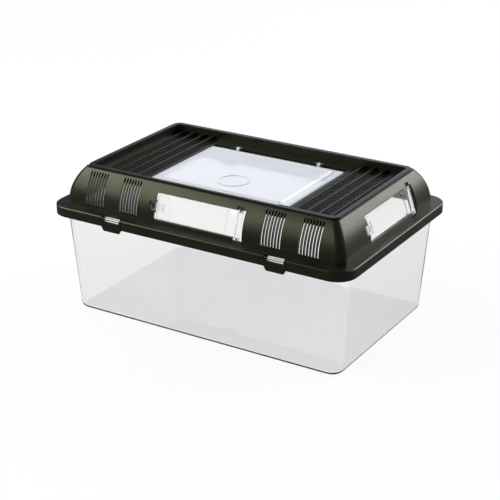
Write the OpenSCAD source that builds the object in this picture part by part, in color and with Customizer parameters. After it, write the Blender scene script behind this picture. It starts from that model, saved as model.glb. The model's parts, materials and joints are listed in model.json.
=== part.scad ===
// Plastic pet keeper: a clear tub under a black ventilated lid, with a clear
// hatch on top, clear feeding doors in the lid's walls and pivoting snap clips.
// Millimetres. Origin at the middle of the tub's underside, +X along the length,
// -Y towards the front, +Z up.

/* [Tub] */
// Height of the tub's walls, up to the rim that carries the lid
tub_h = 100.7; // [85:0.1:140]
// How far each wall of the tub leans in from rim to floor
tub_taper = 7.3; // [4:0.1:10]
// Thickness of the tub's walls
tub_wall = 1.8; // [1.4:0.1:3]
// Thickness of the tub's floor
tub_floor = 2; // [1.6:0.1:4]
// Corner radius of the tub at its floor
tub_base_r = 11; // [8:0.5:18]
// Corner radius of the tub at its rim
tub_rim_r = 15; // [12:0.5:20]
// Rounding of the tub's bottom edge
tub_foot_r = 3; // [2:0.5:5]
// Width of the rim's lip at the short ends
lip_end = 4; // [3:0.1:6]
// Width of the rim's lip along the front and back
lip_side = 5.5; // [4.5:0.1:7]
// Thickness of the rim's lip
lip_t = 1.8; // [1.4:0.1:3]

/* [Lid flange] */
// Length over the lid's flange
lid_l = 302; // [285:1:360]
// Width over the lid's flange
lid_w = 198.5; // [190:0.5:240]
// Corner radius of the flange
lid_r = 18; // [16:0.5:24]
// Height of the flange, from skirt edge to ledge
skirt_h = 8.9; // [8:0.1:12]
// Thickness of the flange's skirt
skirt_wall = 2.8; // [2.6:0.1:3.4]
// Thickness of the flange's ledge
ledge_t = 2.1; // [1.8:0.1:3]
// Width of the chamfer along the flange's upper edge
flange_edge = 0.7; // [0.4:0.1:1.2]

/* [Hood] */
// Width of the ledge beside the hood at the short ends
ledge_end = 9.85; // [8:0.05:14]
// Width of the ledge beside the hood along the front and back
ledge_side = 12.9; // [11:0.1:16]
// Height of the curved hood above the ledge
hood_rise = 32.1; // [31.6:0.1:38]
// How far the hood's curved walls lean in
hood_lean = 12.9; // [11:0.1:15]
// Corner radius of the hood where it meets the ledge
hood_base_r = 8; // [6:0.5:11]
// Corner radius of the hood at its top
hood_top_r = 5; // [4.5:0.5:7]
// Thickness of the hood's walls
hood_wall = 2.2; // [1.4:0.1:2.6]

/* [Crest and top plate] */
// Height of the lip that stands on the hood's top edge
crest_h = 1.8; // [1:0.1:2.5]
// Setback of that lip from the hood's top edge
crest_step = 1.5; // [0.8:0.1:2]
// Width of the lip's top face
crest_w = 4.5; // [4:0.1:6]
// How much narrower the lip is in front of the hatch
crest_cut = 1.8; // [0.5:0.1:2.4]
// Depth of the top plate below the crest
plate_depth = 7.8; // [6.5:0.1:9]
// Thickness of the top plate
plate_t = 3; // [2.8:0.1:4]

/* [Vents and grilles] */
// Slots in each vent group
vent_count = 7; // [3:1:7]
// Width of a vent slot
vent_w = 1.7; // [1.2:0.05:2.2]
// Pitch of the vent slots
vent_pitch = 2.9; // [2.6:0.1:3.1]
// Middle of the inner vent groups, from the lid's middle
vent_inner_x = 72.4; // [70:0.1:78]
// Middle of the outer vent groups, from the lid's middle
vent_outer_x = 108.6; // [100:0.1:112]
// Height of the slots' lower ends above the ledge
vent_low = 1.3; // [0.8:0.1:4]
// Height of the slots' upper ends above the ledge
vent_high = 30.6; // [24:0.1:31]
// Width of a grille slot in the top plate
grille_w = 1.8; // [1.2:0.1:2.2]
// Pitch of the grille slots, from front to back
grille_pitch = 3.73; // [3.4:0.01:6]
// Plain margin around each grille
grille_margin = 2.8; // [2.4:0.1:8]
// Distance from the hatch's end to the first raised rib
rib_first = 10.7; // [9:0.1:13]
// Pitch of the raised ribs that cross the slots
rib_pitch = 10.9; // [8:0.1:16]
// Thickness of the raised ribs
rib_t = 1.1; // [1:0.1:2]
// Height of the raised ribs
rib_h = 2.7; // [0.8:0.1:3]

/* [Top hatch] */
// Length of the hatch
hatch_l = 140; // [110:1:146]
// Distance from the hatch's front edge to the wall of the recess before it
hatch_front = 10.9; // [8:0.1:16]
// Distance from the hatch's back edge to the wall of the recess behind it
hatch_back = 19.5; // [18:0.1:22]
// Thickness of the hatch's border
hatch_t = 1.6; // [1.2:0.1:1.8]
// Height of the raised panel above the border
panel_h = 1.8; // [1:0.1:2.5]
// Width of the border at the hatch's ends
border_end = 8.2; // [7:0.1:14]
// Width of the border at the hatch's front
border_front = 4.6; // [4:0.1:9]
// Width of the border at the hatch's back
border_back = 2.8; // [2.4:0.1:9]
// Width of the ledge that carries the hatch
hatch_ledge = 4; // [3:0.1:5]
// Distance from the middle to each hinge knuckle
knuckle_x = 43; // [30:0.5:60]
// Length of each hinge knuckle on the hatch
knuckle_l = 3; // [2.6:0.1:8]
// Outer radius of the hatch's knuckles
knuckle_r = 2.2; // [2:0.1:2.4]
// Distance from the hatch's back edge to its hinge axis
knuckle_back = 2.8; // [2.7:0.1:4]
// Radius of the hinge stubs that carry the hatch
hatch_pin_r = 1.2; // [1:0.05:1.3]
// Outer radius of the plain ring moulded on the hatch
ring_r = 14.2; // [10:0.1:18]
// Length of the shallow groove in the hatch's right border
groove_l = 19; // [10:0.5:30]

/* [Feeding doors] */
// Width of the front door
front_door_w = 86.3; // [70:0.1:92]
// Width of each side door
side_door_w = 84.5; // [70:0.1:90]
// Offset of a side doorway from its wall's middle, towards its hinge
side_door_shift = 7.5; // [0:0.5:9]
// Height of the doors' lower edge above the ledge
door_low = 3; // [2.6:0.1:4]
// Height of the doors' upper edge above the ledge
door_high = 25.7; // [24:0.1:26]
// Thickness of a door
door_t = 1.8; // [1.4:0.1:2.2]
// Radius of a door's knuckle
door_knuckle_r = 2.2; // [2:0.1:2.4]
// Length of door beyond its hinge axis
door_tail = 2.4; // [2.3:0.1:3.5]
// Room between the swing of a door's hinged end and the frame
hinge_gap = 2.4; // [0.3:0.1:3.5]
// How far the hinge ear hangs below the door
ear_low = 1.6; // [1:0.1:1.8]
// How far the hinge ear stands above the door
ear_high = 0; // [0:0.1:1]
// Width of the hinge ear
ear_w = 5.1; // [5:0.1:8]
// Radius of the stubs that carry a door
door_pin_r = 1; // [0.8:0.05:1.1]
// Width of the flat pad beside the hinge
door_pad = 14; // [12:0.5:20]
// Depth of the window sunk into a door's face
window_depth = 0.8; // [0.3:0.1:0.9]
// Reach of the latch tongue past the door's free end
tongue_l = 5.4; // [4:0.1:6]
// Height of the latch tongue
tongue_h = 8; // [6:0.1:9]
// Length of the two slots that free the latch tongue
latch_slot = 9; // [6:0.1:12]

/* [Snap clips] */
// Distance from the middle to each clip
clip_x = 83; // [60:0.5:110]
// Sideways offset of the clips, to the right at the front and to the left at the back
clip_shift = 1.8; // [0:0.1:4]
// Width of a clip
clip_w = 20.8; // [18:0.1:26]
// Width of a clip's arms
clip_arm = 2.1; // [1.8:0.1:3]
// Thickness of a clip's bar
clip_t = 1.9; // [1.5:0.1:2.2]
// How far a clip stands proud of the flange
clip_proud = 0.35; // [0.2:0.05:0.8]
// How far a clip's tab hangs below the flange
clip_tab = 3.7; // [3:0.1:8]
// How far the tab narrows on each side
clip_taper = 2.2; // [0:0.1:4]
// Radius of a clip's pins
clip_pin_r = 0.8; // [0.6:0.05:0.9]

/* [Clearances] */
// Gap between parts that rest on each other
seat_gap = 0.3; // [0.2:0.05:0.5]
// Gap beside parts that swing or lift
side_gap = 0.3; // [0.25:0.05:0.5]
// Play between the tub's rim and the lid's skirt
rim_play = 0.45; // [0.3:0.05:0.8]
// Radial clearance of a pin in its hole
pin_play = 0.05; // [0.02:0.01:0.1]

/* [Hidden] */
black = "#2b2b27";
clear = [0.86, 0.9, 0.92, 0.45];
corner_steps = 6;   // facets of a quarter corner on a lofted shell
arc_steps = 12;     // facets of the hood's curve
$fn = 32;
eps = 0.5;          // overshoot of a cut through a face

// Levels of the lid
ledge_under_z = tub_h + seat_gap;
ledge_z = ledge_under_z + ledge_t;
skirt_z = ledge_z - skirt_h;
hood_top_z = ledge_z + hood_rise;
crest_z = hood_top_z + crest_h;
plate_z = crest_z - plate_depth;
plate_under_z = plate_z - plate_t;

// Hood: base outline, top outline and the radius of its curve
hood_l = lid_l - 2 * ledge_end;
hood_w = lid_w - 2 * ledge_side;
top_l = hood_l - 2 * hood_lean;
top_w = hood_w - 2 * hood_lean;
hood_r = (hood_lean * hood_lean + hood_rise * hood_rise) / (2 * hood_lean);

// Recess inside the crest
recess_l = top_l - 2 * (crest_step + crest_w);
recess_w = top_w - 2 * (crest_step + crest_w);
recess_r = max(hood_top_r - crest_step, 2);

// Tub rim, sized to the skirt that drops over it
rim_l = lid_l - 2 * (skirt_wall + rim_play);
rim_w = lid_w - 2 * (skirt_wall + rim_play);
rim_r = lid_r - skirt_wall - rim_play;
mouth_l = rim_l - 2 * lip_end;
mouth_w = rim_w - 2 * lip_side;

// Hatch: its place in the recess, its seat and its hinge axis
hatch_y1 = recess_w / 2 - hatch_back;
hatch_y0 = hatch_front - recess_w / 2;
hatch_w = hatch_y1 - hatch_y0;
hatch_mid_y = (hatch_y0 + hatch_y1) / 2;
hatch_r = 2;
hatch_top_z = plate_z;
hatch_z = hatch_top_z - hatch_t;
hatch_seat_z = hatch_z - seat_gap;
hatch_axis_y = hatch_y1 + knuckle_back;
hatch_axis_z = hatch_z + knuckle_r;
panel_l = hatch_l - 2 * border_end;
panel_w = hatch_w - border_front - border_back;
panel_y = hatch_mid_y + (border_front - border_back) / 2;
trough_w = knuckle_back + knuckle_r + 1;   // depth of the trough behind the hatch
post_l = 2.4;                              // length of a post beside a knuckle
panel_bevel = 1.8;   // width of the panel's sloping edge
panel_r = 3;
ring_y = hatch_mid_y - 0.21 * hatch_w;
groove_y = panel_y + 0.33 * panel_w;

// Doors: each lies on the chord of the hood's curve between its two edges
function inset(h) = hood_r - sqrt(hood_r * hood_r - h * h);
chord_in = inset(door_high) - inset(door_low);
chord_up = door_high - door_low;
door_lean = atan(chord_in / chord_up);
door_h = sqrt(chord_in * chord_in + chord_up * chord_up);
door_in = (inset(door_high) + inset(door_low)) / 2;
door_z = ledge_z + (door_high + door_low) / 2;
way_v = door_h / 2 + side_gap;                       // half height of a doorway
swing_gap = norm([door_tail, door_knuckle_r]) - door_tail + hinge_gap;
ear_v0 = -door_h / 2 - ear_low;
ear_v1 = door_h / 2 + ear_high;
cheek_t = 2;                                         // overlap of a hinge cheek with the wall
rail_t = 1.4;                                        // thickness of a door frame's rails
lip_v = 1;                                           // width of the stop lip behind a door
frame_n = door_t + seat_gap + 1.6;                   // depth of a door frame
stub_l = 2;                                          // reach of a stub into its knuckle
tongue_t = 1.2;
tongue_v = -0.6;                                     // latch tongue, from the door's middle
slot_w = 0.8;                                        // width of the slots beside the latch
notch_w = 6.4;                                       // width of the notches at the hinge
notch_h = 3;                                         // height of the notch above the hinge
foot_notch_h = 1.4;                                  // height of the notch below it
door_corner_r = 2.5;
// Turn, distance and width of each door, offset of its doorway and 1 where it is mirrored
DOORS = [[0, hood_w / 2, front_door_w, 0, 0],
         [90, hood_l / 2, side_door_w, side_door_shift, 0],
         [-90, hood_l / 2, side_door_w, side_door_shift, 1]];

// Clips: pivot, arms and the catch lug on the tub
clip_y = lid_w / 2 + clip_proud;                     // outer face
clip_in_y = clip_y - clip_t;                         // inner face of the bar
pivot_y = lid_w / 2 - skirt_wall / 2;
pivot_z = ledge_z - clip_pin_r - pin_play - 0.75;
arm_r = clip_pin_r + 0.3;
arm_in_y = pivot_y - arm_r;
lug_y = clip_in_y - side_gap;
lug_back_y = lug_y - 3.1;
lug_z = ledge_z - 0.6;
lug_w = clip_w - 2 * (clip_arm + side_gap);
bar_z = pivot_z - 2.4;
lug_low_z = bar_z - 0.6;
pin_l = 1.9;
CLIPS = [[-1, -1], [1, -1], [-1, 1], [1, 1]];

// Outline of a rectangle with round corners, anticlockwise
function outline(l, w, r) = [
    for (c = [[1, 1, 0], [-1, 1, 90], [-1, -1, 180], [1, -1, 270]], i = [0:corner_steps])
        [c[0] * (l / 2 - r) + r * cos(c[2] + 90 * i / corner_steps),
         c[1] * (w / 2 - r) + r * sin(c[2] + 90 * i / corner_steps)]];

// Closed skin through round-cornered rectangles; each level is [z, length, width, radius]
module loft(levels) {
    n = 4 * (corner_steps + 1);
    last = len(levels) - 1;
    points = [for (v = levels, p = outline(v[1], v[2], v[3])) [p[0], p[1], v[0]]];
    sides = [for (k = [0:last - 1], i = [0:n - 1])
        [k * n + i, k * n + n + i, k * n + n + (i + 1) % n, k * n + (i + 1) % n]];
    polyhedron(points, concat([[for (i = [0:n - 1]) i]], sides,
                              [[for (i = [n - 1:-1:0]) last * n + i]]));
}

// Flat plate with true round corners, from z0 to z1
module plate(l, w, r, z0, z1) {
    translate([0, 0, z0]) linear_extrude(z1 - z0) round_rect(l, w, r);
}

module round_rect(l, w, r) {
    square([l - 2 * r, w], center = true);
    square([l, w - 2 * r], center = true);
    for (x = [-1, 1], y = [-1, 1])
        translate([x * (l / 2 - r), y * (w / 2 - r)]) circle(r);
}

// Block between two corners
module block(a, b) {
    translate(a) cube(b - a);
}

// Levels of the hood's curve, moved inwards by t and stopped at height top
function hood_levels(t, top) =
    let (r = hood_r - t, end = asin(top / r))
    [for (i = [0:arc_steps])
        let (a = end * i / arc_steps, in = t + r * (1 - cos(a)),
             corner = hood_base_r + (hood_top_r - hood_base_r) * (in - t) / hood_lean - t)
        [ledge_z + r * sin(a), hood_l - 2 * in, hood_w - 2 * in, max(corner, 1)]];

module hood_outside() {
    first = hood_levels(0, hood_rise)[0];
    loft(concat([[ledge_under_z, first[1], first[2], first[3]]], hood_levels(0, hood_rise)));
}

module hood_inside() {
    levels = hood_levels(hood_wall, hood_rise - hood_wall);
    loft(concat([[ledge_under_z - eps, levels[0][1], levels[0][2], levels[0][3]]], levels));
}

// ---------------------------------------------------------------- tub

module tub_outside() {
    function at(z) = tub_taper * (1 - z / tub_h);
    levels = concat(
        [for (a = [0, 30, 60])
            let (z = tub_foot_r * (1 - cos(a)), in = at(z) + tub_foot_r * (1 - sin(a)))
            [z, mouth_l - 2 * in, mouth_w - 2 * in, tub_base_r - tub_foot_r * (1 - sin(a))]],
        [[tub_foot_r, mouth_l - 2 * at(tub_foot_r), mouth_w - 2 * at(tub_foot_r), tub_base_r],
         [tub_h, mouth_l, mouth_w, tub_rim_r]]);
    loft(levels);
}

module tub_inside() {
    function at(z) = tub_taper * (1 - z / tub_h) + tub_wall;
    loft([[tub_floor, mouth_l - 2 * at(tub_floor) - 2, mouth_w - 2 * at(tub_floor) - 2,
           tub_base_r - tub_wall - 1],
          [tub_floor + 1, mouth_l - 2 * at(tub_floor + 1), mouth_w - 2 * at(tub_floor + 1),
           tub_base_r - tub_wall],
          [tub_h + eps, mouth_l - 2 * at(tub_h + eps), mouth_w - 2 * at(tub_h + eps),
           tub_rim_r - tub_wall]]);
}

// Catch lugs stand on the rim's lip, behind the clips
module catch_lugs() {
    for (c = CLIPS) at_clip(c)
        block([-lug_w / 2, lug_back_y, lug_low_z], [lug_w / 2, lug_y, lug_z]);
}

// Place of a clip, drawn as if it were at the back
module at_clip(c) {
    translate([c[0] * clip_x - c[1] * clip_shift, 0, 0]) scale_y(c[1]) children();
}

module scale_y(s) {
    mirror([0, s < 0 ? 1 : 0, 0]) children();
}

module tub() {
    color(clear) {
        difference() {
            union() {
                tub_outside();
                plate(rim_l, rim_w, rim_r, tub_h - lip_t, tub_h);
            }
            tub_inside();
        }
        catch_lugs();
    }
}

// ---------------------------------------------------------------- lid

module flange() {
    e = flange_edge;
    loft([[skirt_z, lid_l, lid_w, lid_r],
          [ledge_z - e, lid_l, lid_w, lid_r],
          [ledge_z, lid_l - 2 * e, lid_w - 2 * e, lid_r - e]]);
}

// Hollow of the lid: the hood's inside, less the walls and floor of the recess
module lid_hollow() {
    difference() {
        hood_inside();
        plate(recess_l + 2 * hood_wall, recess_w + 2 * hood_wall, recess_r + hood_wall,
              plate_under_z, crest_z);
    }
}

module lid_shell() {
    difference() {
        union() {
            flange();
            hood_outside();
            plate(top_l - 2 * crest_step, top_w - 2 * crest_step, recess_r + crest_w - 1,
                  hood_top_z - hood_wall, crest_z);
        }
        plate(lid_l - 2 * skirt_wall, lid_w - 2 * skirt_wall, lid_r - skirt_wall,
              skirt_z - eps, ledge_under_z);
        lid_hollow();
        plate(recess_l, recess_w, recess_r, plate_z, crest_z + eps);
        block([-hatch_l / 2 - side_gap, -recess_w / 2 - crest_cut, hood_top_z],
              [hatch_l / 2 + side_gap, -recess_w / 2 + eps, crest_z + eps]);
    }
}

module vent_slots() {
    for (y = [-1, 1], x = [-vent_outer_x, -vent_inner_x, vent_inner_x, vent_outer_x])
        scale_y(y) translate([x, top_w / 2 - 1, ledge_z]) rotate([-90, 0, 0]) mirror([0, 1, 0])
            linear_extrude(hood_lean + hood_wall + 1)
                for (i = [0:vent_count - 1])
                    translate([(i - (vent_count - 1) / 2) * vent_pitch, 0]) {
                        translate([-vent_w / 2, vent_low + vent_w / 2])
                            square([vent_w, vent_high - vent_low - vent_w]);
                        for (z = [vent_low + vent_w / 2, vent_high - vent_w / 2])
                            translate([0, z]) circle(vent_w / 2);
                    }
}

// One grille lies between the hatch and each end of the recess
grille_x0 = hatch_l / 2 + side_gap + grille_margin;
grille_x1 = recess_l / 2 - grille_margin;
grille_y = recess_w / 2 - grille_margin;
grille_count = floor((2 * grille_y - grille_w) / grille_pitch) + 1;
rib_land = 0.3;     // plain strip on each side of a rib
rib_x0 = hatch_l / 2 + rib_first;
rib_count = floor((grille_x1 - rib_x0 - 2.5) / rib_pitch) + 1;

module at_ribs() {
    for (i = [0:rib_count - 1]) translate([rib_x0 + i * rib_pitch, 0, 0]) children();
}

module grille_slots() {
    for (side = [-1, 1]) mirror([side < 0 ? 1 : 0, 0, 0])
        translate([0, 0, plate_under_z - eps]) linear_extrude(plate_t + 2 * eps) difference() {
            for (k = [0:grille_count - 1])
                translate([grille_x0, (k - (grille_count - 1) / 2) * grille_pitch - grille_w / 2])
                    square([grille_x1 - grille_x0, grille_w]);
            at_ribs() square([rib_t + 2 * rib_land, recess_w], center = true);
        }
}

module grille_ribs() {
    for (side = [-1, 1]) mirror([side < 0 ? 1 : 0, 0, 0]) at_ribs()
        block([-rib_t / 2, -recess_w / 2 - eps, plate_z - eps],
              [rib_t / 2, recess_w / 2 + eps, plate_z + rib_h]);
}

// Opening under the hatch, the seat around it and the trough behind it
module hatch_cuts() {
    translate([0, hatch_mid_y, 0]) {
        plate(hatch_l + 2 * side_gap, hatch_w + 2 * side_gap, hatch_r + side_gap,
              hatch_seat_z, plate_z + eps);
        plate(hatch_l - 2 * hatch_ledge, hatch_w - 2 * hatch_ledge, hatch_r,
              plate_under_z - eps, plate_z);
    }
    block([-hatch_l / 2 - side_gap, hatch_y1 - 1, hatch_seat_z],
          [hatch_l / 2 + side_gap, hatch_y1 + trough_w, plate_z + eps]);
}

module rod_x(x0, x1, y, z, r) {
    translate([x0, y, z]) rotate([0, 90, 0]) cylinder(r = r, h = x1 - x0);
}

// Two posts beside each knuckle of the hatch, joined by the pin that it turns on
module hatch_hinge_posts() {
    reach = knuckle_l / 2 + side_gap;
    for (x = [-knuckle_x, knuckle_x]) translate([x, 0, 0]) {
        for (side = [-1, 1]) mirror([side < 0 ? 1 : 0, 0, 0])
            block([reach, hatch_axis_y - 2, hatch_seat_z - eps],
                  [reach + post_l, hatch_axis_y + 2, hatch_axis_z + hatch_pin_r + 0.6]);
        rod_x(-reach - 1, reach + 1, hatch_axis_y, hatch_axis_z, hatch_pin_r);
    }
}

// Frame of a door: s runs along the wall to the hinge, n into the lid, v up the door
module at_door(d) {
    rotate([0, 0, d[0]]) mirror([d[4], 0, 0])
        translate([d[3] - (swing_gap - side_gap) / 2, door_in - d[1], door_z])
            rotate([-door_lean, 0, 0]) children();
}

module doorway(w) {
    rotate([90, 0, 0]) translate([(swing_gap - side_gap) / 2, 0, -6]) linear_extrude(10)
        round_rect(w + swing_gap + side_gap, 2 * way_v, door_corner_r);
}

// Rails and stop lips above and below a door, a rail at its hinge and the latch's backing
module door_frame(w) {
    s0 = -w / 2 - side_gap;
    s1 = w / 2 - ear_w - 1;
    s2 = w / 2 + swing_gap;
    difference() {
        union() {
            for (side = [-1, 1]) mirror([0, 0, side < 0 ? 1 : 0]) {
                block([s0, -1, way_v], [s1, frame_n, way_v + rail_t]);
                block([s0, door_t + seat_gap, way_v - lip_v], [s1, frame_n, way_v + eps]);
            }
            block([s2, -1, -way_v], [s2 + rail_t, frame_n, way_v]);
            block([s0 - tongue_l - rail_t, -0.5, tongue_v - tongue_h / 2 - 1.5],
                  [s0, tongue_t + 1.8, tongue_v + tongue_h / 2 + 1.5]);
        }
        latch_pocket(w);
    }
}

module latch_pocket(w) {
    block([-w / 2 - tongue_l - side_gap, -6, tongue_v - tongue_h / 2 - side_gap],
          [-w / 2, tongue_t + seat_gap + 0.1, tongue_v + tongue_h / 2 + side_gap]);
}

// Room for the hinge ear, and the notches above and below it
module hinge_room(w) {
    block([w / 2 - ear_w - side_gap, -6, ear_v0 - side_gap],
          [w / 2 + swing_gap, 5, ear_v1 + side_gap]);
    s = w / 2 - door_tail;
    block([s - notch_w / 2, -6, ear_v0 - side_gap - foot_notch_h],
          [s + notch_w / 2, 4, ear_v1 + side_gap + notch_h]);
}

// Cheeks that close the ends of the hinge
module hinge_cheeks(w) {
    s = w / 2 - door_tail;
    n0 = 1.4;
    n1 = 2 * door_knuckle_r + 0.4;
    block([s - 2.6, n0, ear_v1 + side_gap],
          [s + 2.6, n1, ear_v1 + side_gap + notch_h + cheek_t]);
    block([s - 2.6, n0, ear_v0 - side_gap - foot_notch_h - cheek_t],
          [s + 2.6, n1, ear_v0 - side_gap]);
}

// Stubs on the cheeks, for the door to turn on
module hinge_stubs(w) {
    s = w / 2 - door_tail;
    for (v = [[ear_v0 - side_gap - 1, ear_v0 + stub_l],
              [ear_v1 - stub_l, ear_v1 + side_gap + 1]])
        translate([s, door_knuckle_r, v[0]]) cylinder(r = door_pin_r, h = v[1] - v[0]);
}

// Slot in the skirt for a clip, the lug's pocket behind it and the two pin holes
module clip_slot() {
    half = clip_w / 2 + side_gap;
    block([-half, arm_in_y - side_gap, skirt_z - eps], [half, lid_w / 2 + eps, ledge_z + eps]);
    block([-lug_w / 2 - side_gap, lug_back_y - side_gap, ledge_under_z - eps],
          [lug_w / 2 + side_gap, lid_w / 2, ledge_z + eps]);
    rod_x(-half - pin_l, half + pin_l, pivot_y, pivot_z, clip_pin_r + pin_play);
}

module lid() {
    color(black) {
        difference() {
            union() {
                difference() {
                    lid_shell();
                    for (d = DOORS) at_door(d) doorway(d[2]);
                }
                intersection() {
                    hood_outside();
                    for (d = DOORS) at_door(d) door_frame(d[2]);
                }
                grille_ribs();
            }
            for (d = DOORS) at_door(d) {
                hinge_room(d[2]);
                latch_pocket(d[2]);
            }
            vent_slots();
            grille_slots();
            hatch_cuts();
            for (c = CLIPS) at_clip(c) clip_slot();
        }
        hatch_hinge_posts();
        intersection() {
            hood_outside();
            for (d = DOORS) at_door(d) hinge_cheeks(d[2]);
        }
        for (d = DOORS) at_door(d) hinge_stubs(d[2]);
    }
}

// ---------------------------------------------------------------- top hatch

module top_hatch() {
    color(clear) difference() {
        union() {
            translate([0, hatch_mid_y, 0])
                plate(hatch_l, hatch_w, hatch_r, hatch_z, hatch_top_z);
            translate([0, panel_y, 0])
                loft([[hatch_top_z - eps, panel_l, panel_w, panel_r + panel_bevel],
                      [hatch_top_z, panel_l, panel_w, panel_r + panel_bevel],
                      [hatch_top_z + panel_h, panel_l - 2 * panel_bevel,
                       panel_w - 2 * panel_bevel, panel_r]]);
            translate([0, ring_y, hatch_top_z + panel_h - eps]) difference() {
                cylinder(r = ring_r, h = eps + 0.6, $fn = 64);
                translate([0, 0, -eps]) cylinder(r = ring_r - 1.5, h = 3 * eps + 0.6, $fn = 64);
            }
            // Lift tab at the front edge
            block([-12, hatch_y0 - 4, hatch_top_z - eps], [12, hatch_y0 + 3, hatch_top_z + 1.5]);
            // Arms and knuckles
            for (x = [-1, 1]) {
                block([x * knuckle_x - knuckle_l / 2, hatch_y1 - eps, hatch_z],
                      [x * knuckle_x + knuckle_l / 2, hatch_axis_y, hatch_top_z]);
                rod_x(x * knuckle_x - knuckle_l / 2, x * knuckle_x + knuckle_l / 2,
                      hatch_axis_y, hatch_axis_z, knuckle_r);
            }
        }
        // Hollow under the raised panel
        translate([0, panel_y, 0])
            loft([[hatch_z - eps, panel_l - 2 * panel_bevel, panel_w - 2 * panel_bevel, panel_r],
                  [hatch_z, panel_l - 2 * panel_bevel, panel_w - 2 * panel_bevel, panel_r],
                  [hatch_top_z + panel_h - hatch_t, panel_l - 4 * panel_bevel,
                   panel_w - 4 * panel_bevel, panel_r]]);
        // Groove in the right border
        block([panel_l / 2 + 0.9, groove_y - groove_l / 2, hatch_top_z - 0.8],
              [panel_l / 2 + 2.1, groove_y + groove_l / 2, hatch_top_z + eps]);
        // Space under the lift tab
        block([-13, hatch_y0 - 5, hatch_z - 1], [13, hatch_y0, hatch_top_z + seat_gap]);
        rod_x(-knuckle_x - knuckle_l, knuckle_x + knuckle_l, hatch_axis_y, hatch_axis_z,
              hatch_pin_r + pin_play);
    }
}

// ---------------------------------------------------------------- feeding doors

module door(w) {
    s = w / 2 - door_tail;
    difference() {
        union() {
            rotate([90, 0, 0]) translate([0, 0, -door_t]) linear_extrude(door_t) {
                round_rect(w, door_h, door_corner_r);
                translate([w / 2 - ear_w, ear_v0]) square([ear_w, ear_v1 - ear_v0]);
            }
            translate([s, door_knuckle_r, ear_v0]) cylinder(r = door_knuckle_r, h = ear_v1 - ear_v0);
            latch_tongue(w);
        }
        // Window sunk into the face, beside the hinge pad
        rotate([90, 0, 0]) translate([-door_pad / 2 + 1, 0, -window_depth])
            linear_extrude(window_depth + eps)
                round_rect(w - door_pad - 2, door_h - 3.6, 3);
        // Slots that free the latch
        for (v = [-1, 1] * (tongue_h + slot_w) / 2)
            block([-w / 2 - eps, -eps, tongue_v + v - slot_w / 2],
                  [-w / 2 + latch_slot, door_t + eps, tongue_v + v + slot_w / 2]);
        // Blind holes for the stubs
        for (v = [[ear_v0 - eps, ear_v0 + stub_l + side_gap],
                  [ear_v1 - stub_l - side_gap, ear_v1 + eps]])
            translate([s, door_knuckle_r, v[0]])
                cylinder(r = door_pin_r + pin_play, h = v[1] - v[0]);
    }
    latch_grip(w);
}

// Three low ribs on the latch, for a fingertip
module latch_grip(w) {
    half = tongue_h / 2 - 1.2;
    for (i = [0:2])
        translate([-w / 2 + 3.4 + 2.2 * i, 0, tongue_v])
            block([0, 0.2, -half], [0.7, window_depth + 0.3, half]);
}

// U-shaped tongue at the free end
module latch_tongue(w) {
    difference() {
        block([-w / 2 - tongue_l, 0.1, tongue_v - tongue_h / 2],
              [-w / 2 + 1, 0.1 + tongue_t, tongue_v + tongue_h / 2]);
        block([-w / 2 - tongue_l + 1.4, -eps, tongue_v - tongue_h / 2 + 1.4],
              [-w / 2 - 0.4, tongue_t + eps, tongue_v + tongue_h / 2 - 1.4]);
    }
}

module front_door() {
    color(clear) at_door(DOORS[0]) door(DOORS[0][2]);
}

module right_door() {
    color(clear) at_door(DOORS[1]) door(DOORS[1][2]);
}

module left_door() {
    color(clear) at_door(DOORS[2]) door(DOORS[2][2]);
}

// ---------------------------------------------------------------- snap clips

// U-shaped clip: two arms on pins beside the lug, a bar below it and a thumb tab
module clip(c) {
    tab_z = skirt_z - clip_tab;
    x = clip_w / 2;
    color(black) at_clip(c) {
        translate([0, clip_y, 0]) rotate([90, 0, 0]) linear_extrude(clip_t)
            polygon([[-x, skirt_z], [-x + clip_taper, tab_z], [x - clip_taper, tab_z],
                     [x, skirt_z], [x, bar_z], [-x, bar_z]]);
        for (side = [-1, 1]) mirror([side < 0 ? 1 : 0, 0, 0]) {
            block([x - clip_arm, arm_in_y, bar_z - 2], [x, clip_y, pivot_z]);
            rod_x(x - clip_arm, x, pivot_y, pivot_z, arm_r);
            rod_x(x - clip_arm, x + pin_l, pivot_y, pivot_z, clip_pin_r);
        }
    }
}

module clip_front_left() { clip(CLIPS[0]); }

module clip_front_right() { clip(CLIPS[1]); }

module clip_rear_left() { clip(CLIPS[2]); }

module clip_rear_right() { clip(CLIPS[3]); }

tub();
lid();
top_hatch();
front_door();
right_door();
left_door();
clip_front_left();
clip_front_right();
clip_rear_left();
clip_rear_right();
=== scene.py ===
# %% [markdown]
# # A plastic pet keeper, dressed for its picture
# The keeper is a clear tub under a black ventilated lid. Its solids come ready
# made from the frame, in metres, with the front towards -Y. This lesson gives
# every solid softened edges and a finish, then sets up a small white studio.
# Each step says what the real thing is like and why it is made this way.

# %% Load the frame
import json
import math

import bmesh
import bpy
from mathutils import Matrix, Vector

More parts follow.
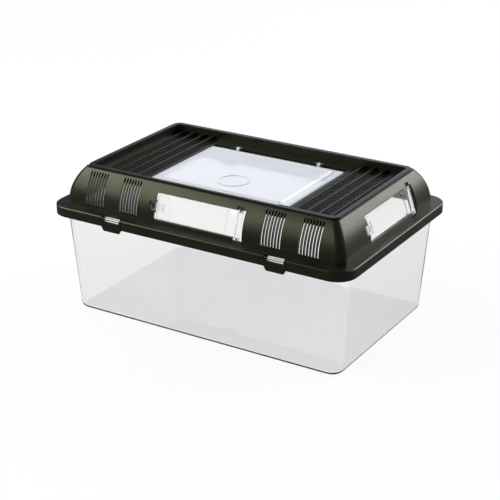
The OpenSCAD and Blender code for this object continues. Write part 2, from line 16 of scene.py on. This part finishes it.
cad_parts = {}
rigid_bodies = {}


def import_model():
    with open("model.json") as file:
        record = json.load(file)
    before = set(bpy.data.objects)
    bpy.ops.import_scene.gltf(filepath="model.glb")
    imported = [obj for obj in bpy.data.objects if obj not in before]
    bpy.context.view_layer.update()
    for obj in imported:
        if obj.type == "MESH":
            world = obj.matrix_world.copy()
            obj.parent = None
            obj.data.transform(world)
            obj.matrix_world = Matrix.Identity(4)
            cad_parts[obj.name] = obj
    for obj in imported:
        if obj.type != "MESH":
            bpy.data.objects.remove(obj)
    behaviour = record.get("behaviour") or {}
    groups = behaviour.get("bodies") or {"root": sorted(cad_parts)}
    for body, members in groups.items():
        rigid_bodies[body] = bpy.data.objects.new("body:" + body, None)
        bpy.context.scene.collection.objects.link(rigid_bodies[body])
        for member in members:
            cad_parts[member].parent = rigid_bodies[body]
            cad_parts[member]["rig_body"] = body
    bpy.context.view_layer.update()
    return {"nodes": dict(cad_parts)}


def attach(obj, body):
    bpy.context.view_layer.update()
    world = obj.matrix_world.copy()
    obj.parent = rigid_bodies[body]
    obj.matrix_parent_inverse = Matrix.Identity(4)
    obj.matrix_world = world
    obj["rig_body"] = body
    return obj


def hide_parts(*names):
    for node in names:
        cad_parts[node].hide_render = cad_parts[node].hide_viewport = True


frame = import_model()
nodes = frame["nodes"]
print("nodes:", sorted(nodes))

# %% [markdown]
# The colours of the render should be the ones we write down, so the view
# transform is Standard, which bends no tones.

# %% Colour management
scene = bpy.context.scene
scene.view_settings.view_transform = "Standard"
MM = 0.001
print("view transform:", scene.view_settings.view_transform)

# %% [markdown]
# ## The lid's own measures
# The walls of the hood are one arc, and the tops of the crest and of the plate
# are level. With these few measures we can find out, for any point, which way
# the true curved surface faces. The moulding's solids have narrow flat strips
# there, and shading them with the true directions makes them look curved.

# %% Measures of the hood
LEDGE_Z = 103.1 * MM
HOOD_RISE = 32.1 * MM
HOOD_LEAN = 12.9 * MM
HOOD_HALF_L = 141.15 * MM
HOOD_HALF_W = 86.35 * MM
BASE_CORNER = 8 * MM
TOP_CORNER = 5 * MM
HOOD_R = (HOOD_LEAN ** 2 + HOOD_RISE ** 2) / (2 * HOOD_LEAN)
print("radius of the hood's arc, mm:", round(HOOD_R / MM, 2))


def hood_surface(p):
    """Distance of p outside the hood's curved skin, and which way that skin faces there."""
    h = min(max(p.z - LEDGE_Z, 0), HOOD_RISE)
    side = math.sqrt(HOOD_R ** 2 - h ** 2)
    inset = HOOD_R - side
    corner = BASE_CORNER + (TOP_CORNER - BASE_CORNER) * inset / HOOD_LEAN
    ax = abs(p.x) - (HOOD_HALF_L - inset - corner)
    ay = abs(p.y) - (HOOD_HALF_W - inset - corner)
    if ax > 0 and ay > 0:
        flat = Vector((ax, ay, 0))
        out = flat.length - corner
    elif ax > ay:
        flat = Vector((1, 0, 0))
        out = ax - corner
    else:
        flat = Vector((0, 1, 0))
        out = ay - corner
    flat.normalize()
    flat.x = math.copysign(flat.x, p.x)
    flat.y = math.copysign(flat.y, p.y)
    way = flat * (side / HOOD_R) + Vector((0, 0, h / HOOD_R))
    return out, way.normalized()


# %% [markdown]
# ## Softened edges
# No moulded edge is sharp: each has a tiny round that catches a thin line of
# light. A bevel modifier with an angle limit rounds only real edges. The bevel
# is written into the mesh at once, so that the finished form is what every
# other view gets. Faces with a hollow corner, such as the wall around a doorway,
# are cut into plain ones there, because they can't be shaded evenly in one piece.
# Then each corner of a face gets its direction for shading: the larger a face,
# the more it counts, so flat walls stay flat, as clear plastic needs, and the
# narrow strips between them blend into true rounds.

# %% A dressed copy of a solid
WELD = 0.001 * MM
FLAT_TURN = math.radians(0.4)
EDGE_TURN = math.radians(35)
ROUND_STEPS = 2


def dressed(node, name, round_mm, curved=None):
    """A copy of a frame node with rounded edges, which takes the node's place."""
    source = nodes[node]
    bm = bmesh.new()
    bm.from_mesh(source.data)
    bmesh.ops.remove_doubles(bm, verts=bm.verts, dist=WELD)
    bmesh.ops.dissolve_limit(bm, angle_limit=FLAT_TURN, verts=bm.verts, edges=bm.edges,
                             delimit=set())
    mesh = bpy.data.meshes.new(name)
    bm.to_mesh(mesh)
    bm.free()
    piece = bpy.data.objects.new(name, mesh)
    scene.collection.objects.link(piece)
    soften = piece.modifiers.new("soft edges", "BEVEL")
    soften.width = round_mm * MM
    soften.segments = ROUND_STEPS
    soften.limit_method = "ANGLE"
    soften.angle_limit = EDGE_TURN
    soften.use_clamp_overlap = True
    bake_modifiers(piece)
    set_directions(piece.data, curved)
    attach(piece, source["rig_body"])
    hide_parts(node)
    print(name, "faces:", len(piece.data.polygons))
    return piece


def bake_modifiers(piece):
    """Writes what the modifiers make into the piece's own mesh, with no hollow-cornered faces."""
    view = bpy.context.evaluated_depsgraph_get()
    view.update()
    made = bpy.data.meshes.new_from_object(piece.evaluated_get(view), depsgraph=view)
    bm = bmesh.new()
    bm.from_mesh(made)
    bmesh.ops.connect_verts_concave(bm, faces=bm.faces)
    bm.to_mesh(made)
    bm.free()
    piece.modifiers.clear()
    piece.data = made


def set_directions(mesh, curved):
    """Gives every corner of every face the direction in which it is shaded."""
    same_side = math.cos(EDGE_TURN)
    mesh.shade_smooth()
    around = [[] for _ in mesh.vertices]
    for face in mesh.polygons:
        weighed = (face.normal.copy(), face.normal * face.area)
        for v in face.vertices:
            around[v].append(weighed)
    ways = [None] * len(mesh.loops)
    for face in mesh.polygons:
        on_curve = curved and lies_on(curved, face)
        for i in face.loop_indices:
            v = mesh.loops[i].vertex_index
            if on_curve:
                ways[i] = curved(mesh.vertices[v].co)[1]
                continue
            near = [big for flat, big in around[v] if flat.dot(face.normal) > same_side]
            ways[i] = sum(near, Vector()).normalized()
    mesh.normals_split_custom_set([tuple(way) for way in ways])


def lies_on(surface, face, reach=0.12 * MM, turn=0.97):
    """Whether a face is a part of a known curved skin."""
    out, way = surface(face.center)
    return abs(out) < reach and face.normal.dot(way) > turn


# %% [markdown]
# ## The ten mouldings
# The tub and the hatch have the fullest edges, which is why these show as bright
# or dark lines. The lid is cut into thin bars between its slots, so its edges
# have a smaller round, and the thin doors have the smallest. Each moulding stays
# a piece of its own, because each one moves by itself.

# %% The pieces, one for each moulding
tub = dressed("tub", "clear_tub", 0.35)
lid = dressed("lid", "vented_lid", 0.18, curved=hood_surface)
hatch = dressed("top_hatch", "clear_top_hatch", 0.45)
doors = [dressed(f"{side}_door", f"clear_{side}_door", 0.15)
         for side in ("front", "right", "left")]
clips = [dressed(f"clip_{end}_{side}", f"snap_clip_{end}_{side}", 0.3)
         for end in ("front", "rear") for side in ("left", "right")]
print("pieces:", len([tub, lid, hatch, *doors, *clips]))

# %% [markdown]
# ## Shader maths as plain Python
# A node tree is easier to read as an expression. The class below wraps a
# socket, so that `mask * 0.2 + 0.3` adds its Math nodes by itself. Any other
# node comes from one method that takes its type, its settings and its inputs.

# %% A socket with operators
class Wire:
    """A node's output that can be used in sums and products."""

    def __init__(self, graph, socket):
        self.graph = graph
        self.socket = socket

    def maths(self, operation, first, second):
        return self.graph.node("ShaderNodeMath", {"operation": operation}, {0: first, 1: second})

    def top(self, other):
        """The larger of the two."""
        return self.maths("MAXIMUM", self, other)

    def __add__(self, other):
        return self.maths("ADD", self, other)

    def __radd__(self, other):
        return self.maths("ADD", other, self)

    def __sub__(self, other):
        return self.maths("SUBTRACT", self, other)

    def __rsub__(self, other):
        return self.maths("SUBTRACT", other, self)

    def __mul__(self, other):
        return self.maths("MULTIPLY", self, other)

    def __rmul__(self, other):
        return self.maths("MULTIPLY", other, self)


print("sockets can be added, subtracted and multiplied")

# %% [markdown]
# A tree also has to know which ray is asking. The white backdrop should be white
# for the camera and for light that comes through clear plastic, and dim for what
# black plastic mirrors. Black seen through a clear door is the odd case: such a
# ray was mirrored once and has crossed more than the two sides of one clear wall.

# %% A node tree that is filled by calls
CLEAR_WALL_SIDES = 2
DIMMED = 0.8


class Graph:
    """A node tree that is filled by calls."""

    def __init__(self, tree):
        self.tree = tree

    def node(self, kind, settings=None, inputs=None, out=0):
        made = self.tree.nodes.new(kind)
        for key, value in (settings or {}).items():
            setattr(made, key, value)
        for key, value in (inputs or {}).items():
            self.feed(made.inputs[key], value)
        return Wire(self, made.outputs[out])

    def feed(self, socket, value):
        if isinstance(value, Wire):
            self.tree.links.new(value.socket, socket)
        else:
            socket.default_value = value

    def ray(self, kind):
        """1 for rays of this kind, and 0 for the others."""
        path = self.tree.nodes.new("ShaderNodeLightPath")
        return Wire(self, path.outputs[f"Is {kind} Ray"])

    def mirrored_once(self):
        """1 for rays that something behind clear plastic has mirrored once, and 0 for the others."""
        path = self.tree.nodes.new("ShaderNodeLightPath")
        times = Wire(self, path.outputs["Glossy Depth"])
        sides = Wire(self, path.outputs["Transmission Depth"])
        return times.maths("COMPARE", times, 1) * sides.maths("GREATER_THAN", sides,
                                                              CLEAR_WALL_SIDES + 0.5)

    def backdrop_rays(self):
        """1 for rays that find the plain white backdrop, and less for the others."""
        through = self.ray("Transmission") * (1 - self.mirrored_once() * DIMMED)
        return self.ray("Camera").top(through)


print("node trees can be filled")

# %% [markdown]
# Each finish starts from one Principled shader, which describes plastic, black
# or clear, with a handful of sockets. Noise in the piece's own coordinates gives
# the small unevenness that every moulding has.

# %% A finish to build on
MIX_MASK, MIX_FIRST, MIX_SECOND, MIX_COLOUR = 0, 6, 7, 2


class Finish(Graph):
    """A material with one Principled shader to start from."""

    def __init__(self, name):
        self.material = bpy.data.materials.new(name)
        self.material.use_nodes = True
        super().__init__(self.material.node_tree)
        self.shader = self.tree.nodes["Principled BSDF"]

    def set(self, **values):
        """Feeds the shader's sockets: Base_Color=... stands for Base Color."""
        for key, value in values.items():
            self.feed(self.shader.inputs[key.replace("_", " ")], value)

    def place(self):
        return self.node("ShaderNodeTexCoord", out="Object")

    def noise(self, scale, detail, rough=0.5):
        return self.node("ShaderNodeTexNoise", {}, {
            "Vector": self.place(), "Scale": scale, "Detail": detail, "Roughness": rough})

    def blend(self, mask, dark, light):
        return self.node("ShaderNodeMix", {"data_type": "RGBA"},
                         {MIX_MASK: mask, MIX_FIRST: dark, MIX_SECOND: light}, out=MIX_COLOUR)

    def bump(self, height, strength, distance):
        return self.node("ShaderNodeBump", {}, {"Height": height, "Strength": strength,
                                                "Distance": distance})


print("finishes can be made")

# %% [markdown]
# ## Satin black plastic
# The lid and the clips are black plastic from a finely blasted mould: a slightly
# warm black, satin rather than glossy, with a grain a fraction of a millimetre
# across. Handling polishes it a little unevenly, so its roughness drifts over
# a few centimetres. A noise at each of these scales is all it takes. The shine
# itself has a slight olive cast, which is a tint of the gloss and not of the black.

# %% Black finishes
PLASTIC_IOR = 1.5
OLIVE = (1, 1, 0.8, 1)
DRIFT_PER_M = 38
WIPES_PER_M = 160
SPECKS_PER_M = 2600
GRAIN_DEPTH = 0.06 * MM


def black_plastic(name, colour, rough, grain):
    finish = Finish(name)
    drift = finish.noise(DRIFT_PER_M, 2)
    specks = finish.noise(SPECKS_PER_M, 2)
    wipe = finish.noise(WIPES_PER_M, 4, 0.6)
    lighter = [c * 1.7 + 0.002 for c in colour]
    finish.set(Base_Color=finish.blend(drift * 0.7 + specks * 0.3, (*colour, 1), (*lighter, 1)),
               Roughness=rough - 0.05 + drift * 0.08 + wipe * 0.05,
               Normal=finish.bump(specks * 0.7 + wipe * 0.3, grain, GRAIN_DEPTH),
               IOR=PLASTIC_IOR, Specular_Tint=OLIVE)
    return finish.material


satin = black_plastic("satin black plastic", (0.0045, 0.0045, 0.003), 0.34, 0.3)
clip_black = black_plastic("smooth black plastic", (0.0045, 0.0045, 0.0034), 0.3, 0.25)
print("black finishes:", satin.name, "and", clip_black.name)


# %% [markdown]
# ## Clear plastic
# The tub, the hatch and the doors are clear polystyrene. It bends light like
# glass, is faintly cool where light passes through much of it, and has soft
# waves where the melt flowed. The pieces are solid walls with two sides, so
# plain transmission with the right index gives true bright and dark edges. The
# hatch is milky and the doors are slightly so: part of their light is scattered.

# %% Clear finishes
FLOW_PER_M = 22
FLOW_PALER = 0.012
FLOW_DEPTH = 0.4 * MM
SCUFFS_PER_M = 900


def clear_plastic(name, tint, rough, wave, clarity):
    finish = Finish(name)
    flow = finish.noise(FLOW_PER_M, 2)
    scuff = finish.noise(SCUFFS_PER_M, 5, 0.65)
    paler = [min(1.0, c + FLOW_PALER) for c in tint]
    finish.set(Base_Color=finish.blend(flow, (*tint, 1), (*paler, 1)),
               Roughness=rough + scuff * 0.03,
               Normal=finish.bump(flow, wave, FLOW_DEPTH),
               Transmission_Weight=clarity, IOR=PLASTIC_IOR)
    return finish.material


clear_tub = clear_plastic("clear tub plastic", (0.957, 0.963, 0.968), 0.0, 0.06, 1)
clear_hatch = clear_plastic("clear hatch plastic", (0.91, 0.925, 0.985), 0.04, 0.08, 0.54)
clear_door = clear_plastic("clear door plastic", (0.99, 1, 0.99), 0.0, 0.08, 0.95)
print("clear finishes:", clear_tub.name, clear_hatch.name, clear_door.name)

# %% [markdown]
# Every piece gets one finish all over, because each moulding is one plastic. The
# Each entry also lists a slot name for that plastic, which the loop below does not use.

# %% Give every piece its finish
finishes = [(tub, clear_tub, "clear_plastic"), (lid, satin, "black_plastic"),
            (hatch, clear_hatch, "clear_hatch")]
finishes += [(door, clear_door, "clear_door") for door in doors]
finishes += [(clip, clip_black, "black_clip") for clip in clips]
for piece, material, slot in finishes:
    piece.data.materials.clear()
    piece.data.materials.append(material)
print("finished pieces:", len(finishes))

# %% [markdown]
# ## The studio
# Catalogue pictures of such keepers stand on endless white. The floor is a pale
# card. To the camera, and through the clear walls, it is white wherever light
# reaches it, and it still takes the shadow under the tub. The black lid shows
# a dimmer room, so for glossy rays the card is only grey.

# %% Floor
WHITE = (1, 1, 1, 1)
PALE_CARD = (0.93, 0.93, 0.925, 1)
DIM_CARD = (0.08, 0.08, 0.08, 1)
CARD_GLOW = 0.9
FLOOR_SIDE = 6
FLOOR_DROP = 0.2 * MM
bpy.ops.mesh.primitive_plane_add(size=FLOOR_SIDE, location=(0, 0, -FLOOR_DROP))
floor = bpy.context.object
floor.name = "studio_floor"
card = Finish("white card")
shown = card.backdrop_rays()
card.set(Base_Color=card.blend(card.ray("Glossy") * (1 - shown), PALE_CARD, DIM_CARD),
         Roughness=0.7)
painted = Wire(card, card.shader.outputs[0])
glow = card.node("ShaderNodeEmission", {}, {"Color": WHITE, "Strength": 1})
surface = card.node("ShaderNodeMixShader", {}, {0: shown * CARD_GLOW, 1: painted, 2: glow})
card.feed(card.tree.nodes["Material Output"].inputs[0], surface)
floor.data.materials.append(card.material)
print("floor is laid, metres a side:", FLOOR_SIDE)

# %% [markdown]
# The world is the white backdrop. What the camera and the clear walls see of it
# is plain white. Its light on the object is weaker, because the soft boxes do
# much of the lighting, and glossy rays find a dim grey room. A ray that was bent
# by a clear wall counts as glossy too, so those are left out of the dim room.

# %% World
LIGHT_LEVEL = 0.5
ROOM_LEVEL = 0.12
world = bpy.data.worlds.new("white backdrop")
scene.world = world
world.use_nodes = True
sky = Graph(world.node_tree)
sky.tree.nodes.clear()
shown = sky.backdrop_rays()
mirrored = sky.ray("Glossy") * (1 - shown)
level = LIGHT_LEVEL + shown * (1 - LIGHT_LEVEL) + mirrored * (ROOM_LEVEL - LIGHT_LEVEL)
backdrop = sky.node("ShaderNodeBackground", {}, {"Color": WHITE, "Strength": level})
sky.feed(sky.tree.nodes.new("ShaderNodeOutputWorld").inputs["Surface"], backdrop)
print("light level:", LIGHT_LEVEL, "room level:", ROOM_LEVEL)


# %% [markdown]
# Black satin shows the lamps more than its own colour. A soft box behind the
# right end paints the bright upper part of the right wall. One at the front left
# lights the shoulder of the front wall, and a small one near the left end makes
# it brighter there. A wide cool one low behind the left is what the level tops
# of the crest and the ribs show. Clear walls don't show the boxes themselves,
# only the white backdrop.

# %% Soft boxes
def soft_box(name, place, target, size, watts, colour=(1, 1, 1)):
    lamp = bpy.data.lights.new(name, "AREA")
    lamp.color = colour
    lamp.shape = "RECTANGLE"
    lamp.size, lamp.size_y = size
    lamp.energy = watts
    box = bpy.data.objects.new(name, lamp)
    scene.collection.objects.link(box)
    box.location = place
    box.rotation_euler = (Vector(target) - Vector(place)).to_track_quat("-Z", "Y").to_euler()
    box.visible_transmission = False
    print(name, "watts:", watts)


WARM = (1, 1, 0.84)
COOL = (0.76, 0.82, 1)
soft_box("box behind the right end", (1.2, 1.7, 0.99), (0.05, 0, 0.1), (1.8, 1.25), 36)
soft_box("box at the front left", (-1.55, -1.42, 1.12), (0, 0, 0.1), (1.6, 1.2), 22, WARM)
soft_box("box near the left", (-0.84, -0.27, 0.8), (-0.1, 0, 0.1), (0.7, 0.4), 5, WARM)
soft_box("box low behind the left", (-0.8, 2.05, 0.82), (0, 0, 0.1), (1.35, 1.1), 4.8, COOL)

# %% [markdown]
# The camera stands where the photographer stood: a little over knee height to
# the front right, with a long lens.

# %% Camera
TURN = math.radians(31.684)
LIFT = math.radians(23.192)
ROLL = math.radians(-0.205)
DISTANCE = 1.2558
TARGET = Vector((0.00021, 0, 0.05547))
FRAME_PX = 500
FOCAL_PX = 1375.46
SENSOR_MM = 36
back_way = Vector((math.sin(TURN) * math.cos(LIFT), -math.cos(TURN) * math.cos(LIFT),
                   math.sin(LIFT)))
right_way = Vector((0, 0, 1)).cross(back_way).normalized()
up_way = back_way.cross(right_way)
right_way, up_way = (right_way * math.cos(ROLL) + up_way * math.sin(ROLL),
                     up_way * math.cos(ROLL) - right_way * math.sin(ROLL))
eye = bpy.data.cameras.new("camera")
eye.sensor_width = SENSOR_MM
eye.lens = SENSOR_MM * FOCAL_PX / FRAME_PX
eye.clip_start = 0.01
camera = bpy.data.objects.new("camera", eye)
scene.collection.objects.link(camera)
place = TARGET + back_way * DISTANCE
camera.matrix_world = Matrix(((right_way.x, up_way.x, back_way.x, place.x),
                              (right_way.y, up_way.y, back_way.y, place.y),
                              (right_way.z, up_way.z, back_way.z, place.z),
                              (0, 0, 0, 1)))
scene.camera = camera
print("lens, mm:", round(eye.lens, 1))
